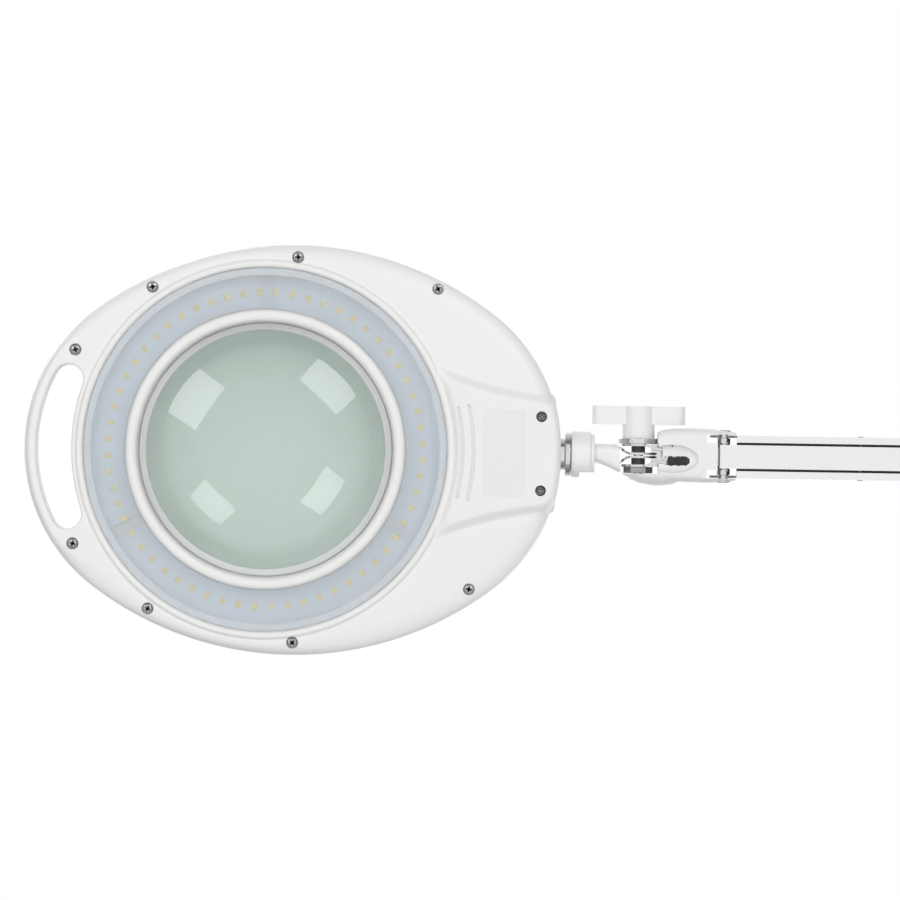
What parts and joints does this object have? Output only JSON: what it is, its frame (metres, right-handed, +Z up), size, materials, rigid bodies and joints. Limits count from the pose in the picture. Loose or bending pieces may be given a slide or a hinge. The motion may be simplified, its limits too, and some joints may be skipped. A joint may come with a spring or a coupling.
{
  "type": "magnifying lamp",
  "caption": "Clamp-on magnifying lamp: oval head with a large round lens and a ring of LEDs, a friction knuckle with a wing knob, two channel-section arms and a table clamp.",
  "frame": {"origin": "centre of the upper jaw's contact face, under the swivel post, on the table top", "axes": "+Z up out of the table, -X forwards along the forearm to the head, Y across"},
  "size_m": [0.788, 0.2086, 0.6518],
  "materials": {
    "white_housing": "satin white moulded plastic",
    "white_fittings": "satin white moulded plastic",
    "lens_glass": "polished, faint green",
    "black_rubber": "matt",
    "gasket_silicone": "milky silicone",
    "led_board_white": "white solder mask",
    "led_phosphor": "yellow phosphor",
    "led_diffuser": "translucent, smooth",
    "circuit_board": "green solder mask",
    "black_plastic": "fine texture",
    "label_film": "satin film, blank",
    "screw_steel": "zinc plated",
    "bright_chrome": "polished",
    "grey_nylon": "matt",
    "arm_enamel": "white enamel",
    "spring_steel": "oiled",
    "clamp_enamel": "white enamel",
    "zinc_steel": "zinc plated"
  },
  "bodies": {
    "clamp": {"clamp_frame": "clamp_enamel", "jaw_pad": "black_rubber", "post_bush": "grey_nylon", "post_screw": "bright_chrome"},
    "pad": {"pressure_pad": "zinc_steel", "pad_rubber": "black_rubber"},
    "screw": {"clamp_screw": "zinc_steel", "screw_bar": "zinc_steel"},
    "base": {"base_fork": "white_fittings", "base_pins": "bright_chrome", "base_sleeves": "bright_chrome", "swivel_post": "bright_chrome", "cord_gland": "black_rubber"},
    "lower_arm": {"lower_arm_channel": "arm_enamel", "lower_arm_spring": "spring_steel", "lower_arm_spring_pin": "spring_steel"},
    "lower_link": {"lower_arm_link": "arm_enamel", "lower_arm_link_pin": "spring_steel"},
    "elbow": {"elbow_plate_left": "arm_enamel", "elbow_plate_right": "arm_enamel", "elbow_spacer": "arm_enamel", "elbow_pins": "bright_chrome", "elbow_sleeves": "bright_chrome"},
    "forearm": {"forearm_channel": "arm_enamel", "forearm_spring": "spring_steel", "forearm_spring_pin": "spring_steel"},
    "fore_link": {"forearm_link": "arm_enamel", "forearm_link_pin": "spring_steel"},
    "wrist": {"wrist_cap": "white_fittings", "hinge_fork": "bright_chrome", "tilt_bolt": "bright_chrome", "tilt_nut": "screw_steel", "tilt_washer": "bright_chrome", "tilt_bushes": "grey_nylon", "cable_sleeve": "black_rubber", "wrist_pins": "bright_chrome", "wrist_spacers": "bright_chrome"},
    "knob": {"tilt_knob": "white_fittings"},
    "knuckle": {"knuckle_collar": "white_fittings", "knuckle_tongue": "bright_chrome"},
    "head": {"lower_housing": "white_housing", "upper_housing": "white_housing", "lens": "lens_glass", "lens_gasket": "gasket_silicone", "lens_bezel": "white_housing", "led_board": "led_board_white", "led_chips": "led_phosphor", "led_cover": "led_diffuser", "housing_screws": "screw_steel", "bay_screws": "screw_steel", "driver_board": "circuit_board", "driver_parts": "black_plastic", "rocker_frame": "black_plastic", "blank_label": "label_film", "neck_tube": "bright_chrome", "neck_nut": "bright_chrome", "lid_pin": "screw_steel"},
    "lid": {"lens_lid": "white_housing"},
    "rocker": {"power_rocker": "black_plastic"}
  },
  "joints": [
    {"name": "base_swivel", "type": "hinge", "parent": "clamp", "child": "base", "pos_m": [0, 0, 0.036], "axis": [0, 0, 1], "continuous": true},
    {"name": "lower_arm_pivot", "type": "hinge", "parent": "base", "child": "lower_arm", "pos_m": [0.006, 0, 0.072], "axis": [0, 1, 0], "range_deg": [-50, 40], "deforming": ["lower_arm_spring"]},
    {"name": "lower_link_pivot", "type": "hinge", "parent": "base", "child": "lower_link", "pos_m": [-0.006, 0, 0.072], "axis": [0, 1, 0], "range_deg": [-50, 40]},
    {"name": "elbow_level", "type": "hinge", "parent": "lower_arm", "child": "elbow", "pos_m": [0.006, 0, 0.432], "axis": [0, 1, 0], "range_deg": [-40, 50]},
    {"name": "forearm_pivot", "type": "hinge", "parent": "elbow", "child": "forearm", "pos_m": [-0.026, 0, 0.472], "axis": [0, 1, 0], "range_deg": [-45, 50], "deforming": ["forearm_spring"]},
    {"name": "fore_link_pivot", "type": "hinge", "parent": "elbow", "child": "fore_link", "pos_m": [-0.026, 0, 0.46], "axis": [0, 1, 0], "range_deg": [-45, 50]},
    {"name": "wrist_level", "type": "hinge", "parent": "forearm", "child": "wrist", "pos_m": [-0.386, 0, 0.472], "axis": [0, 1, 0], "range_deg": [-50, 45]},
    {"name": "head_tilt", "type": "hinge", "parent": "wrist", "child": "knuckle", "pos_m": [-0.4295, 0, 0.466], "axis": [0, 1, 0], "range_deg": [-90, 90]},
    {"name": "head_swivel", "type": "hinge", "parent": "knuckle", "child": "head", "pos_m": [-0.4595, 0, 0.466], "axis": [1, 0, 0], "range_deg": [-90, 90]},
    {"name": "knob_turn", "type": "hinge", "parent": "wrist", "child": "knob", "pos_m": [-0.4295, -0.016, 0.466], "axis": [0, 1, 0], "range_deg": [0, 360]},
    {"name": "lid_hinge", "type": "hinge", "parent": "head", "child": "lid", "pos_m": [-0.6195, 0.078, 0.4876], "axis": [-1, 0, 0], "range_deg": [0, 110]},
    {"name": "rocker_press", "type": "hinge", "parent": "head", "child": "rocker", "pos_m": [-0.5045, 0, 0.4824], "axis": [0, 1, 0], "range_deg": [0, 10]},
    {"name": "pad_travel", "type": "slide", "parent": "clamp", "child": "pad", "axis": [0, 0, 1], "range_m": [0, 0.045]},
    {"name": "screw_turn", "type": "hinge", "parent": "pad", "child": "screw", "pos_m": [-0.002, 0, -0.1], "axis": [0, 0, 1], "range_deg": [-15, 5415]}
  ],
  "couplings": [
    {"joint": "lower_link_pivot", "follows": "lower_arm_pivot", "ratio": 1},
    {"joint": "elbow_level", "follows": "lower_arm_pivot", "ratio": -1},
    {"joint": "fore_link_pivot", "follows": "forearm_pivot", "ratio": 1},
    {"joint": "wrist_level", "follows": "forearm_pivot", "ratio": -1},
    {"joint": "screw_turn", "follows": "pad_travel", "rad_per_m": 2094.4}
  ]
}
